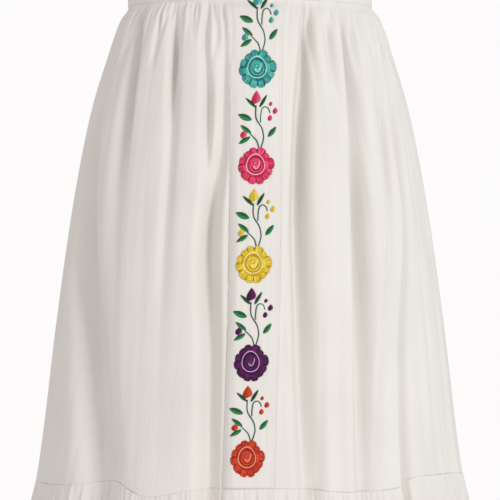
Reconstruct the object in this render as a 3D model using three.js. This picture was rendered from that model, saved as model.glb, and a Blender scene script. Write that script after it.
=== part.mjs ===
// Sleeveless folk dress of crinkled white cotton gauze, in the form it has when it is worn: a round-necked bodice,
// a gathered skirt, a gathered ruffle at the hem and one straight front panel from the neck to the ruffle.
// Millimetres, +Z up. The front faces -Y, and the origin lies midway between the tops of the shoulders.
import * as THREE from 'three';

// Cloth
const clothThickness = 1.4;
const seamGap = 0.3;
const clothColour = '#e9e4dd';

// Heights of the seams, and the length of the ruffle
const underarmZ = -205;
const waistZ = -400;
const ruffleLength = 118;

// Neck, shoulders and armholes
const neckHalfWidth = 88;
const frontNeckDrop = 85;
const backNeckDrop = 35;
const shoulderTipX = 147;
const shoulderDrop = 20;
const armholeInset = 14;
const armholeLessAtTop = 0.3;

// Sections of the body of the dress, as half ellipses in front and behind, from the underarm down to the hem
const sections = [
  { z: -205, halfWidth: 160, front: 125, back: 110 },
  { z: -262, halfWidth: 158, front: 130, back: 108 },
  { z: -330, halfWidth: 144, front: 114, back: 101 },
  { z: -375, halfWidth: 135.5, front: 103, back: 97 },
  { z: -400, halfWidth: 134, front: 101, back: 97 },
  { z: -411, halfWidth: 143, front: 109, back: 107 },
  { z: -425, halfWidth: 149, front: 115, back: 114 },
  { z: -452, halfWidth: 157, front: 122, back: 124 },
  { z: -507, halfWidth: 173, front: 133, back: 139 },
  { z: -562, halfWidth: 185, front: 142, back: 148 },
  { z: -644, halfWidth: 199, front: 154, back: 159 },
  { z: -754, halfWidth: 214, front: 168, back: 171 },
  { z: -864, halfWidth: 227, front: 181, back: 183 },
  { z: -919, halfWidth: 235, front: 189, back: 191 },
  { z: -1040, halfWidth: 259, front: 213, back: 214 },
];

// Front panel: its middle line leans a little, and it is widest where it crosses the waist seam
const panelSections = [
  { z: -85, middle: 3, halfWidth: 29 },
  { z: -370, middle: 6.5, halfWidth: 30 },
  { z: -400, middle: 6.5, halfWidth: 32 },
  { z: -430, middle: 6.2, halfWidth: 28.5 },
  { z: -500, middle: 5.8, halfWidth: 27.3 },
  { z: -680, middle: 4.2, halfWidth: 27 },
  { z: -912, middle: -2.5, halfWidth: 27 },
];

// Height of the ruffle seam round the skirt, in degrees from the front, positive towards +X
const ruffleSeam = [
  { angle: -180, z: -913 },
  { angle: -135, z: -917 },
  { angle: -90, z: -918 },
  { angle: -58, z: -915 },
  { angle: -39, z: -908 },
  { angle: -27, z: -921 },
  { angle: -12, z: -912 },
  { angle: 8, z: -911 },
  { angle: 29, z: -917 },
  { angle: 40, z: -915 },
  { angle: 50, z: -904 },
  { angle: 68, z: -905 },
  { angle: 90, z: -911 },
  { angle: 135, z: -915 },
  { angle: 180, z: -913 },
];

// Large folds of the skirt: soft troughs that wander from the waist to the ruffle. Angles are in degrees from the
// front and depths in millimetres, at each of foldDrops of the way down; widths are the half widths of a trough's
// sides towards -X and away from it.
const foldDrops = [0, 0.25, 0.5, 0.75, 1];
const skirtFolds = [
  { angles: [-86, -76, -66, -53, -44.5], depths: [3, 15, 26, 27, 21], widths: [20, 24] },
  { angles: [-57, -48, -45.5, -42, -39], depths: [3, 11, 5, 2, 0], widths: [14, 9] },
  { angles: [-36, -28.2, -27, -25.6, -24], depths: [2, 6, 4, 1, 0], widths: [8, 11] },
  { angles: [-19.6, -15.2, -13.4, -12.3, -11.5], depths: [3, 7, 3, 0, 0], widths: [8, 8] },
  { angles: [-9, -9, -13.6, -10.6, -10], depths: [0, 8, 18, 17, 16], widths: [8, 16] },
  { angles: [24.6, 17.4, 14.2, 14, 14.6], depths: [4, 20, 22, 19, 16], widths: [8, 17] },
  { angles: [33, 30, 28, 25, 24], depths: [4, 2, 1, 2, 3], widths: [8, 9] },
  { angles: [44.8, 39, 35.2, 33, 30.5], depths: [4, 16, 23, 20, 14], widths: [8, 17] },
  { angles: [80, 62.9, 56.4, 47.4, 44.2], depths: [1, 5, 9, 9, 12], widths: [8, 8] },
  { angles: [67.8, 54.1, 48, 39.2, 34.8], depths: [1, 4, 4, 2, 0], widths: [8, 8] },
  { angles: [88, 82, 78, 75, 72], depths: [2, 4, 3, 6, 8], widths: [8, 10] },
  { angles: [104, 109, 112, 115, 118], depths: [3, 11, 15, 17, 15], widths: [8, 16] },
  { angles: [120, 124, 126, 127, 128], depths: [5, 8, 4, 1, 0], widths: [8, 10] },
  { angles: [134, 137, 140, 142, 143], depths: [3, 12, 19, 22, 19], widths: [16, 8] },
  { angles: [150, 152, 152, 151, 150], depths: [5, 9, 6, 2, 1], widths: [8, 9] },
  { angles: [165, 164, 163, 161, 160], depths: [3, 12, 17, 18, 15], widths: [8, 17] },
  { angles: [179, 178, 178, 180, 182], depths: [5, 8, 4, 1, 0], widths: [9, 8] },
  { angles: [193, 195, 197, 199, 201], depths: [4, 13, 20, 22, 19], widths: [17, 8] },
  { angles: [209, 211, 212, 213, 214], depths: [5, 8, 5, 2, 0], widths: [8, 9] },
  { angles: [224, 223, 222, 220, 219], depths: [3, 10, 15, 17, 16], widths: [8, 15] },
  { angles: [240, 238, 236, 237, 238], depths: [5, 7, 5, 3, 2], widths: [8, 9] },
  { angles: [255, 253, 251, 249, 247], depths: [3, 10, 15, 17, 14], widths: [14, 9] },
].map(({ angles, depths, widths }) => {
  return { widths, track: foldDrops.map((drop, i) => ({ drop, angle: angles[i], depth: depths[i] })) };
});
const foldWidthAtWaist = 0.6;
const foldFadeAtPanel = 6;
const maxFold = 35;

// Gathers and ruffle waves, each with four columns of points: two on its crest and two in its hollow
const columnsPerWave = 4;
const skirtGathersPerFront = 14;
const bodiceGathersPerFront = 6;
const ruffleWavesPerHalf = 46;
const skirtGathers = [
  { drop: 0, height: 1.1 },
  { drop: 0.03, height: 2.3 },
  { drop: 0.085, height: 1.5 },
  { drop: 0.17, height: 0 },
];
const skirtDrops = [0.17, 0.26, 0.35, 0.44, 0.53, 0.62, 0.71, 0.8, 0.9, 1];
const bodiceGathers = [
  { z: -355, height: 0 },
  { z: -382, height: 1.4 },
  { z: -400, height: 1.1 },
];
const bodiceHeights = [-205, -255, -305, -355];
const upperShares = [1, 0.8, 0.58, 0.36, 0.17, 0.05];
const neckColumn = 5;
const ruffleRows = [
  { down: 0, height: 0.8 },
  { down: 0.4, height: 3 },
  { down: 1, height: 4.6 },
];
const foldLeftAtHem = 0.7;

const toRadians = THREE.MathUtils.degToRad;
const lerp = THREE.MathUtils.lerp;

// Smooth value of a column of a table at a place along its key column
function read(table, key, column, at) {
  const rising = table[1][key] > table[0][key] ? 1 : -1;
  let i = 0;
  while (i < table.length - 2 && rising * (at - table[i + 1][key]) > 0) i += 1;
  const slope = (j) => (table[j + 1][column] - table[j][column]) / (table[j + 1][key] - table[j][key]);
  const tangent = (j) => {
    if (j === 0) return slope(0);
    if (j === table.length - 1) return slope(j - 1);
    const before = slope(j - 1);
    const after = slope(j);
    return before * after <= 0 ? 0 : (2 * before * after) / (before + after);
  };
  const span = table[i + 1][key] - table[i][key];
  const t = THREE.MathUtils.clamp((at - table[i][key]) / span, 0, 1);
  const [a, b] = [table[i][column], table[i + 1][column]];
  const [ta, tb] = [tangent(i) * span, tangent(i + 1) * span];
  return a + t * ta + t * t * (3 * (b - a) - 2 * ta - tb) + t * t * t * (2 * (a - b) + ta + tb);
}

const halfWidthAt = (z) => read(sections, 'z', 'halfWidth', z);
const depthAt = (z, cosine) => read(sections, 'z', cosine >= 0 ? 'front' : 'back', z);
const panelEdge = (z, side) => {
  return read(panelSections, 'z', 'middle', z) + side * read(panelSections, 'z', 'halfWidth', z);
};

// Angles at which the pieces end, at a height
const panelAngle = (z, side) => Math.asin((panelEdge(z, side) + side * seamGap) / halfWidthAt(z));
const sideAngle = (z, half) => Math.PI / 2 - (half * seamGap) / 2 / depthAt(z, half);
const spans = {
  frontLeft: { start: (z) => -sideAngle(z, 1), end: (z) => panelAngle(z, -1) },
  frontRight: { start: (z) => panelAngle(z, 1), end: (z) => sideAngle(z, 1) },
  front: { start: (z) => -sideAngle(z, 1), end: (z) => sideAngle(z, 1) },
  back: { start: (z) => sideAngle(z, -1), end: (z) => 2 * Math.PI - sideAngle(z, -1) },
};

// Columns of each skirt piece below its gathers, and the ruffle seam as a line of straight steps between them, so
// that the skirt and the ruffle follow the same line
const skirtColumns = 42;
const seamLine = [
  { span: spans.frontLeft, columns: skirtColumns },
  { span: spans.frontRight, columns: skirtColumns },
  { span: spans.back, columns: 2 * skirtColumns },
].flatMap(({ span, columns }) => {
  const level = ruffleSeam[0].z;
  return Array.from({ length: columns + 1 }, (_, i) => {
    const angle = lerp(span.start(level), span.end(level), i / columns);
    const turned = THREE.MathUtils.euclideanModulo(THREE.MathUtils.radToDeg(angle) + 180, 360) - 180;
    return { angle, z: read(ruffleSeam, 'angle', 'z', turned) };
  });
});

function seamHeight(angle) {
  const next = seamLine.findIndex((step) => step.angle >= angle);
  if (next < 1) return seamLine.at(next).z;
  const [a, b] = [seamLine[next - 1], seamLine[next]];
  return lerp(a.z, b.z, (angle - a.angle) / (b.angle - a.angle));
}

// Point of the plain trunk, moved straight out
function trunkPoint(angle, z, out) {
  const width = halfWidthAt(z);
  const depth = depthAt(z, Math.cos(angle));
  const normal = new THREE.Vector3(Math.sin(angle) / width, -Math.cos(angle) / depth, 0).normalize();
  return new THREE.Vector3(width * Math.sin(angle), -depth * Math.cos(angle), z).addScaledVector(normal, out);
}

// How far the large folds move the skirt out, which is nothing on the front panel
function foldRelief(angle, z, drop) {
  const radius = Math.hypot(halfWidthAt(z) * Math.cos(angle), depthAt(z, Math.cos(angle)) * Math.sin(angle));
  let relief = 0;
  for (const { track, widths } of skirtFolds) {
    const bottom = toRadians(read(track, 'drop', 'angle', drop));
    const turn = THREE.MathUtils.euclideanModulo(angle - bottom + Math.PI, 2 * Math.PI) - Math.PI;
    const width = widths[turn < 0 ? 0 : 1] * lerp(foldWidthAtWaist, 1, drop);
    relief -= read(track, 'drop', 'depth', drop) * Math.exp(-(((turn * radius) / width) ** 2));
  }
  const fromPanel = Math.max(panelAngle(z, -1) - angle, angle - panelAngle(z, 1)) * radius;
  return relief * THREE.MathUtils.smoothstep(fromPanel, 0, foldFadeAtPanel);
}

// Crests and hollows of gathers, uneven from one to the next
function wave(index) {
  const crest = Math.sign(Math.sin((index + 0.5) * (Math.PI / 2)));
  return crest * (0.82 + 0.18 * Math.sin(Math.floor(index / columnsPerWave) * 1.9));
}

// Inner points of a row that runs round the trunk. The ends of a row, and all of a row on a seam, turn square to
// the plain trunk, so that neighbouring pieces meet face to face.
function rowOfWall(points, angles, onSeam) {
  return points.map((outer, i) => {
    const steepness = trunkPoint(angles[i], outer.z - 2, 0).sub(trunkPoint(angles[i], outer.z + 2, 0));
    const slope = Math.hypot(steepness.x, steepness.y) / 4;
    const square = onSeam || i === 0 || i === points.length - 1;
    const before = square ? trunkPoint(angles[i] - 0.001, outer.z, 0) : points[i - 1];
    const after = square ? trunkPoint(angles[i] + 0.001, outer.z, 0) : points[i + 1];
    const inward = new THREE.Vector3(before.y - after.y, after.x - before.x, 0).normalize();
    const inner = outer.clone().addScaledVector(inward, clothThickness * Math.hypot(1, slope));
    return { outer, inner, out: outer.distanceTo(trunkPoint(angles[i], outer.z, -maxFold)) };
  });
}

// Row round the trunk: place(angle) gives its height, relief(angle, z, index) its folds
function trunkRow(span, columns, place, relief, onSeam) {
  const angles = [];
  const points = [];
  for (let i = 0; i <= columns; i += 1) {
    const share = i / columns;
    const nearly = place(lerp(span.start(waistZ), span.end(waistZ), share));
    const angle = lerp(span.start(nearly), span.end(nearly), share);
    const z = place(angle);
    angles.push(angle);
    points.push(trunkPoint(angle, z, relief(angle, z, i)));
  }
  return rowOfWall(points, angles, onSeam);
}

// Closed wall through rows of outer and inner points. Rows run from the top down, and each from -X by the front
// to +X, or on round the back. Neighbouring rows may have different numbers of points.
function clothWall(name, rows) {
  const positions = [];
  const indices = [];
  const numbered = rows.map((row) => {
    return row.map(({ outer, inner, out = 0 }) => {
      positions.push(...outer, ...inner);
      const first = positions.length / 3 - 2;
      return { outer: first, inner: first + 1, out };
    });
  });
  const triangle = (a, b, c, flipped) => indices.push(a, flipped ? c : b, flipped ? b : c);
  // Of a cell's two diagonals, the one whose ends stand out more alike follows the fold that crosses it
  const leansOn = (upper, lower, i, j) => {
    return Math.abs(upper[i].out - lower[j + 1].out) < Math.abs(upper[i + 1].out - lower[j].out);
  };
  const strip = (upper, lower, skin) => {
    const flipped = skin === 'inner';
    let [i, j] = [0, 0];
    while (i < upper.length - 1 || j < lower.length - 1) {
      const lead = (i + 1) / (upper.length - 1) - (j + 1) / (lower.length - 1);
      const level = Math.abs(lead) < 1e-9;
      if (level ? !leansOn(upper, lower, i, j) : lead < 0) {
        triangle(upper[i][skin], lower[j][skin], upper[i + 1][skin], flipped);
        i += 1;
      } else {
        triangle(upper[i][skin], lower[j][skin], lower[j + 1][skin], flipped);
        j += 1;
      }
    }
  };
  const rim = (line, flipped) => {
    for (let i = 0; i < line.length - 1; i += 1) {
      triangle(line[i].outer, line[i + 1].outer, line[i].inner, flipped);
      triangle(line[i + 1].outer, line[i + 1].inner, line[i].inner, flipped);
    }
  };
  for (let r = 0; r < numbered.length - 1; r += 1) {
    strip(numbered[r], numbered[r + 1], 'outer');
    strip(numbered[r], numbered[r + 1], 'inner');
  }
  rim(numbered[0], false);
  rim(numbered.at(-1), true);
  rim(numbered.map((row) => row[0]), true);
  rim(numbered.map((row) => row.at(-1)), false);

  const geometry = new THREE.BufferGeometry();
  geometry.setAttribute('position', new THREE.Float32BufferAttribute(positions, 3));
  geometry.setIndex(indices);
  geometry.computeVertexNormals();
  const material = new THREE.MeshStandardMaterial({ color: clothColour, roughness: 0.9, metalness: 0 });
  const mesh = new THREE.Mesh(geometry, material);
  mesh.name = name;
  return mesh;
}

// Skirt piece: gathers in its top rows, then fewer columns down to the ruffle seam
function skirtPiece(name, span, gathers, columnsBelow) {
  const row = (columns, drop, height) => {
    const place = (angle) => lerp(waistZ - seamGap / 2, seamHeight(angle), drop);
    const relief = (angle, z, index) => {
      const fromPanel = Math.min(Math.abs(angle - panelAngle(z, -1)), Math.abs(angle - panelAngle(z, 1)));
      const gather = height * wave(index) * Math.min(1, (fromPanel * halfWidthAt(z)) / foldFadeAtPanel);
      return foldRelief(angle, z, drop) + gather;
    };
    return trunkRow(span, columns, place, relief, drop === 0 || drop === 1);
  };
  const columns = gathers * columnsPerWave;
  const top = skirtGathers.map(({ drop, height }) => row(columns, drop, height));
  const low = skirtDrops.slice(1).map((drop) => row(columnsBelow, drop, 0));
  return clothWall(name, [...top, ...low]);
}

// Ruffle piece: gathered small at its seam and swinging out in waves to its hem
function rufflePiece(name, span) {
  const rows = ruffleRows.map(({ down, height }) => {
    const place = (angle) => seamHeight(angle) - seamGap - down * ruffleLength;
    const relief = (angle, z, index) => {
      return foldRelief(angle, seamHeight(angle), 1) * lerp(1, foldLeftAtHem, down) + height * wave(index);
    };
    return trunkRow(span, ruffleWavesPerHalf * columnsPerWave, place, relief, down === 0);
  });
  return clothWall(name, rows);
}

// Height of the shoulder line, whose inner side is at z = 0 beside the neck
function shoulderZ(x) {
  const along = Math.max(0, Math.abs(x) - neckHalfWidth) / (shoulderTipX - neckHalfWidth);
  return clothThickness - shoulderDrop * along;
}

// Point of the sheet over the chest (side -1) or the shoulder blades (side 1). Lift is 0 at the underarm and
// a quarter turn at the shoulder seam.
function upperPoint(x, lift, side) {
  const width = sections[0].halfWidth;
  const depth = side < 0 ? sections[0].front : sections[0].back;
  const across = Math.sqrt(Math.max(0.001, 1 - (x / width) ** 2));
  const y = side * Math.max(seamGap / 2, depth * across * Math.cos(lift));
  return new THREE.Vector3(x, y, lerp(underarmZ, shoulderZ(x), Math.sin(lift)));
}

function upperWallPoint(x, lift, side) {
  const outer = upperPoint(x, lift, side);
  const across = upperPoint(x + 0.5, lift, side).sub(upperPoint(x - 0.5, lift, side));
  const step = 0.01;
  const below = upperPoint(x, lift - step, side);
  const above = lift + step > Math.PI / 2 ? outer.clone().add(new THREE.Vector3(0, -side, 0)) :
    upperPoint(x, lift + step, side);
  const inward = across.cross(above.sub(below)).multiplyScalar(side).normalize();
  return { outer, inner: outer.clone().addScaledVector(inward, clothThickness) };
}

const liftAt = (z) => Math.asin((z - underarmZ) / (clothThickness - underarmZ));

// Column of the upper bodice at a share of its height. Columns up to neckColumn end on the neckline, the others
// on the shoulder seam. edge(z) is where the columns start, and hand is the side of the body.
function upperColumn(column, columns, share, side, hand, edge) {
  const neckDrop = side < 0 ? frontNeckDrop : backNeckDrop;
  const inNeck = column < neckColumn;
  const neckTurn = (Math.min(column, neckColumn) / neckColumn) * (Math.PI / 2);
  const topLift = inNeck ? liftAt(-neckDrop * Math.cos(neckTurn)) : Math.PI / 2;
  const edgeTop = edge(-neckDrop) * hand;
  const alongShoulder = (column - neckColumn) / (columns - neckColumn);
  const topX = inNeck ? lerp(edgeTop, neckHalfWidth, Math.sin(neckTurn)) :
    lerp(neckHalfWidth, shoulderTipX, alongShoulder);
  const start = Math.asin((edge(underarmZ) * hand) / sections[0].halfWidth);
  const ringX = sections[0].halfWidth * Math.sin(lerp(start, Math.PI / 2, column / columns));
  const bow = Math.sqrt(Math.sin(Math.PI * share)) * (1 - armholeLessAtTop * share);
  const inset = armholeInset * bow * (column / columns) ** 2;
  const z = lerp(underarmZ, clothThickness, Math.sin(share * topLift));
  const x = column === 0 ? edge(z) * hand : lerp(ringX, topX, share) - inset;
  return upperWallPoint(x * hand, share * topLift, side);
}

// Bodice rows below the underarm, gathered where they meet the waist seam
function bodiceTrunkRows(span, columns, gathers) {
  const plain = bodiceHeights.slice(0, -1).map((z) => trunkRow(span, columns, () => z, () => 0, false));
  const gathered = bodiceGathers.map(({ z, height }) => {
    const raised = z === waistZ ? z + seamGap / 2 : z;
    const relief = (angle, level, index) => {
      const fromPanel = Math.min(Math.abs(angle - panelAngle(z, -1)), Math.abs(angle - panelAngle(z, 1)));
      return height * wave(index) * Math.min(1, (fromPanel * halfWidthAt(z)) / foldFadeAtPanel);
    };
    return trunkRow(span, gathers * columnsPerWave, () => raised, relief, z === waistZ);
  });
  return [...plain, ...gathered];
}

function bodiceFront(name, span, hand) {
  const columns = (bodiceGathersPerFront * columnsPerWave) / 2;
  const edge = (z) => panelEdge(z, hand) + hand * seamGap;
  const upper = upperShares.map((share) => {
    const row = Array.from({ length: columns + 1 }, (_, c) => upperColumn(c, columns, share, -1, hand, edge));
    return hand > 0 ? row : row.reverse();
  });
  return clothWall(name, [...upper, ...bodiceTrunkRows(span, columns, bodiceGathersPerFront)]);
}

function bodiceBack(name) {
  const half = (bodiceGathersPerFront * columnsPerWave) / 2;
  const upper = upperShares.map((share) => {
    return Array.from({ length: 2 * half + 1 }, (_, i) => {
      const hand = i > half ? -1 : 1;
      return upperColumn(Math.abs(half - i), half, share, 1, hand, () => 0);
    });
  });
  return clothWall(name, [...upper, ...bodiceTrunkRows(spans.back, 2 * half, 2 * bodiceGathersPerFront)]);
}

// Front panel: one straight strip from the neckline through the waist seam to the ruffle seam
function frontPanel(name) {
  const columns = 6;
  const upperHeights = [-85, -115, -145, -175];
  const trunkHeights = [-205, -255, -305, -355, -382, -400, -415, -443, -487, -543, -604, -665, -727, -789, -850];
  const upper = upperHeights.map((z) => {
    return Array.from({ length: columns + 1 }, (_, c) => {
      const x = lerp(panelEdge(z, -1), panelEdge(z, 1), c / columns);
      return upperWallPoint(x, liftAt(z), -1);
    });
  });
  const span = {
    start: (z) => Math.asin(panelEdge(z, -1) / halfWidthAt(z)),
    end: (z) => Math.asin(panelEdge(z, 1) / halfWidthAt(z)),
  };
  const trunk = trunkHeights.map((z) => trunkRow(span, columns, () => z, () => 0, true));
  const bottom = trunkRow(span, columns, seamHeight, () => 0, true);
  return clothWall(name, [...upper, ...trunk, bottom]);
}

const dress = new THREE.Group();
dress.name = 'embroidered_dress';
dress.add(
  frontPanel('front_panel'),
  bodiceFront('bodice_front_left', spans.frontLeft, -1),
  bodiceFront('bodice_front_right', spans.frontRight, 1),
  bodiceBack('bodice_back'),
  skirtPiece('skirt_front_left', spans.frontLeft, skirtGathersPerFront, skirtColumns),
  skirtPiece('skirt_front_right', spans.frontRight, skirtGathersPerFront, skirtColumns),
  skirtPiece('skirt_back', spans.back, 2 * skirtGathersPerFront, 2 * skirtColumns),
  rufflePiece('ruffle_front', spans.front),
  rufflePiece('ruffle_back', spans.back),
);

export default dress;
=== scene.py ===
"""Sleeveless folk dress of crinkled white cotton gauze with an embroidered front panel, in its worn form."""
import math

import bpy
import numpy as np
from mathutils.bvhtree import BVHTree
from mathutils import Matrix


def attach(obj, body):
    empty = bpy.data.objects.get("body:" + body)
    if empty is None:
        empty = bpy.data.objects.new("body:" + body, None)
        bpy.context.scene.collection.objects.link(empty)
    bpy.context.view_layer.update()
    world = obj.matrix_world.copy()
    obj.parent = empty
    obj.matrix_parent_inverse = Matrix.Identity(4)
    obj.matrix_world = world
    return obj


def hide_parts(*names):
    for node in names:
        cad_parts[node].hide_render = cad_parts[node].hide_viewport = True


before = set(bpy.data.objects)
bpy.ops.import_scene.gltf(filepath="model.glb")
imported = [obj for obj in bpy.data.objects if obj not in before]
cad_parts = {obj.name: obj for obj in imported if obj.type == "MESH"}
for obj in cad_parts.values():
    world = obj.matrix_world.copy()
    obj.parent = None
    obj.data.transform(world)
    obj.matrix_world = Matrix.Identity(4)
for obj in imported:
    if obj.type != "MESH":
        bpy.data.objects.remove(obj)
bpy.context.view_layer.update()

# ------------------------------------------------------------------------------
# Front panel. One straight strip of crinkled cotton gauze, cut along the length of the cloth, from the
# neckline through the waist seam to the ruffle. Its long edges are turned under and stitched on the
# pieces beside it.

MM = 0.001
SEAM_GAP = 0.3
CLOTH_THICKNESS = 0.6
UNDERARM_Z = -205.0
WAIST_Z = -400.0
SHOULDER_TOP = 1.4


def table(columns, *rows):
    """Rows of values as records with named columns."""
    return [dict(zip(columns.split(), row)) for row in rows]


# Sections of the body of the dress, as half ellipses in front and behind, in mm
SECTIONS = table(
    "z half_width front back",
    (-205, 160, 125, 110),
    (-262, 158, 130, 108),
    (-330, 144, 114, 101),
    (-375, 135.5, 103, 97),
    (-400, 134, 101, 97),
    (-411, 143, 109, 107),
    (-425, 149, 115, 114),
    (-452, 157, 122, 124),
    (-507, 173, 133, 139),
    (-562, 185, 142, 148),
    (-644, 199, 154, 159),
    (-754, 214, 168, 171),
    (-864, 227, 181, 183),
    (-919, 235, 189, 191),
    (-1040, 259, 213, 214),
)
PANEL_SECTIONS = table(
    "z middle half_width",
    (-85, 3, 29),
    (-370, 6.5, 30),
    (-400, 6.5, 32),
    (-430, 6.2, 28.5),
    (-500, 5.8, 27.3),
    (-680, 4.2, 27),
    (-912, -2.5, 27),
)
FRONT_NECK_DROP = 85.0
PANEL_BOTTOM = -911.2
PANEL_GRID = {"columns": 44, "rows": 320}
PANEL_RAISE = 0.5
PANEL_WIDTH = 56.0
# How deep the panel's -X margin turns into the fold beside it, in mm
MARGIN_DIPS = table("z depth", (-912, 7.2), (-680, 6.8), (-590, 5.0), (-530, 2.4), (-470, 0), (-85, 0))
MARGIN_WIDTH = 13.0
# Machine stitches in mm: length, distance from one to the next, thread width and height over the cloth
SEWING = {"stitch": 2.1, "pitch": 2.9, "thread": 0.42, "lifts": (-0.18, 0.06, -0.18)}
PANEL_STITCHES_INSET = 2.0
# Small crinkles of the panel and puckers that slant in from its stitched edges: how many, and the
# heights, leans, reaches, half widths and depths that each is drawn between, in mm
CRINKLES, PUCKERS = table(
    "count z lean reach half_width depth",
    (190, (-912, -85), (-0.04, 0.04), (10, 55), (1.3, 2.8), (0.12, 0.45)),
    (150, (-905, -90), (-0.9, 0.9), (3.0, 8.0), (2.4, 4.0), (0.15, 0.4)),
)


def curve(keys, values, at):
    """Smooth curve through values at keys, which never swings past them."""
    keys, values = np.array(keys, dtype=float), np.array(values, dtype=float)
    order = np.argsort(keys)
    keys, values = keys[order], values[order]
    slope = np.diff(values) / np.diff(keys)
    tangent = np.concatenate([slope[:1], np.zeros(len(keys) - 2), slope[-1:]])
    before, after = slope[:-1], slope[1:]
    same = before * after > 0
    tangent[1:-1] = np.where(same, 2 * before * after / np.where(same, before + after, 1), 0)
    at = np.asarray(at, dtype=float)
    i = np.clip(np.searchsorted(keys, at) - 1, 0, len(keys) - 2)
    span = keys[i + 1] - keys[i]
    t = np.clip((at - keys[i]) / span, 0, 1)
    a, b, ta, tb = values[i], values[i + 1], tangent[i] * span, tangent[i + 1] * span
    return a + t * ta + t * t * (3 * (b - a) - 2 * ta - tb) + t**3 * (2 * (a - b) + ta + tb)


def smooth(rows, key, column, at):
    """A column of a table as a smooth curve along its key column."""
    return curve([row[key] for row in rows], [row[column] for row in rows], at)


def blend(a, b, share):
    return a + (b - a) * share


def ease(t):
    t = np.clip(t, 0, 1)
    return t * t * (3 - 2 * t)


def bell(share):
    return np.exp(-(share**2))


def half_width_at(z):
    return smooth(SECTIONS, "z", "half_width", z)


def depth_at(z, in_front):
    return np.where(in_front, smooth(SECTIONS, "z", "front", z), smooth(SECTIONS, "z", "back", z))


def trunk(angle, z, out=0.0):
    """Points of the plain body of the dress at angles from the front, moved straight out, in mm."""
    angle, z = np.broadcast_arrays(angle, z)
    width, depth = half_width_at(z), depth_at(z, np.cos(angle) >= 0)
    across, along = np.sin(angle) / width, -np.cos(angle) / depth
    size = np.hypot(across, along)
    x = width * np.sin(angle) + out * across / size
    y = -depth * np.cos(angle) + out * along / size
    return np.stack([x, y, z], axis=-1)


def panel_edge(z, side):
    middle = smooth(PANEL_SECTIONS, "z", "middle", z)
    return middle + side * smooth(PANEL_SECTIONS, "z", "half_width", z)


def lift_at(z):
    """How far up the curve over the chest a height is, up to a quarter turn at the shoulder."""
    return np.arcsin(np.clip((z - UNDERARM_Z) / (SHOULDER_TOP - UNDERARM_Z), 0, 1))


def front_surface(x, z, out):
    """Points of the plain front at places across and heights, moved out along the surface, in mm."""
    x, z = np.broadcast_arrays(np.asarray(x, dtype=float), np.asarray(z, dtype=float))

    def depth(px, pz):
        below = np.minimum(pz, UNDERARM_Z)
        across = np.sqrt(np.maximum(0.0004, 1 - (px / half_width_at(below)) ** 2))
        return -smooth(SECTIONS, "z", "front", below) * across * np.cos(lift_at(pz))

    step = 0.5
    slope_x = (depth(x + step, z) - depth(x - step, z)) / (2 * step)
    slope_z = (depth(x, z + step) - depth(x, z - step)) / (2 * step)
    size = np.sqrt(1 + slope_x**2 + slope_z**2)
    return np.stack([x + out * slope_x / size, depth(x, z) - out / size, z + out * slope_z / size], axis=-1)


def margin_dip(inside, z):
    """How deep the panel's -X margin lies, at distances in from the panel's edge, in mm."""
    return smooth(MARGIN_DIPS, "z", "depth", z) * (1 - np.clip(inside / MARGIN_WIDTH, 0, 1)) ** 2


def outward(points):
    """Unit directions out of the cloth at the points of a grid."""
    normal = np.cross(np.gradient(points, axis=1), -np.gradient(points, axis=0))
    return normal / np.linalg.norm(normal, axis=-1, keepdims=True)


def add_piece(name, points, faces):
    """Smooth piece of the scene, from points in mm."""
    mesh = bpy.data.meshes.new(name)
    mesh.from_pydata((points * MM).tolist(), [], faces.tolist())
    mesh.shade_smooth()
    piece = bpy.data.objects.new(name, mesh)
    bpy.context.scene.collection.objects.link(piece)
    return piece


def cloth_shell(name, outer, thickness, flat):
    """Closed thin shell of gauze under a grid of outer points in mm, with its flat layout as its UV map."""
    rows, columns = outer.shape[:2]
    inner = outer - outward(outer) * thickness
    count = rows * columns
    number = np.arange(count).reshape(rows, columns)
    skin = np.stack([number[:-1, :-1], number[1:, :-1], number[1:, 1:], number[:-1, 1:]], axis=-1)
    skin = skin.reshape(-1, 4)
    ring = np.concatenate([number[0], number[1:, -1], number[-1, -2::-1], number[-2:0:-1, 0]])
    following = np.roll(ring, -1)
    rim = np.stack([ring, following, following + count, ring + count], axis=-1)
    faces = np.concatenate([skin, skin[:, ::-1] + count, rim])
    piece = add_piece(name, np.concatenate([outer.reshape(-1, 3), inner.reshape(-1, 3)]), faces)
    mesh = piece.data
    layout = mesh.uv_layers.new(name="cloth")
    corner = np.empty(len(mesh.loops), dtype=np.int32)
    mesh.loops.foreach_get("vertex_index", corner)
    layout.data.foreach_set("uv", (flat.reshape(-1, 2)[corner % count] * MM).ravel())
    mesh.materials.append(gauze)
    return piece


def joined_tubes(name, groups):
    """Joined mesh of closed tubes. A group is an array of tubes, rings, four corners and x, y, z in mm."""
    points, faces, first = [], [], 0
    for ring in groups:
        number = first + np.arange(ring[..., 0].size).reshape(ring.shape[:3])
        ahead = np.roll(number, -1, axis=2)
        tube = np.stack([number[:, :-1], number[:, 1:], ahead[:, 1:], ahead[:, :-1]], axis=-1)
        faces += [tube.reshape(-1, 4), number[:, 0], number[:, -1, ::-1]]
        points.append(ring.reshape(-1, 3))
        first += number.size
    points, faces = np.concatenate(points), np.concatenate(faces)
    corner = points[faces[:, :3]]
    if np.einsum("ij,ij->", corner[:, 0], np.cross(corner[:, 1], corner[:, 2])) < 0:
        faces = faces[:, ::-1]
    return add_piece(name, points, faces)


def run_along(points):
    """Distances along lines of points, from the first point of each."""
    step = np.linalg.norm(np.diff(points, axis=0), axis=-1)
    return np.concatenate([0 * step[:1], np.cumsum(step, axis=0)])


def inset_line(points, inset):
    """Line at an inset in mm from the first row of a grid of points."""
    reach = run_along(points)
    step = np.diff(reach, axis=0)
    row, column = np.maximum((reach <= inset).sum(axis=0) - 1, 0), np.arange(points.shape[1])
    share = (inset - reach[row, column]) / step[row, column]
    return blend(points[row, column], points[row + 1, column], share[:, None])


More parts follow.
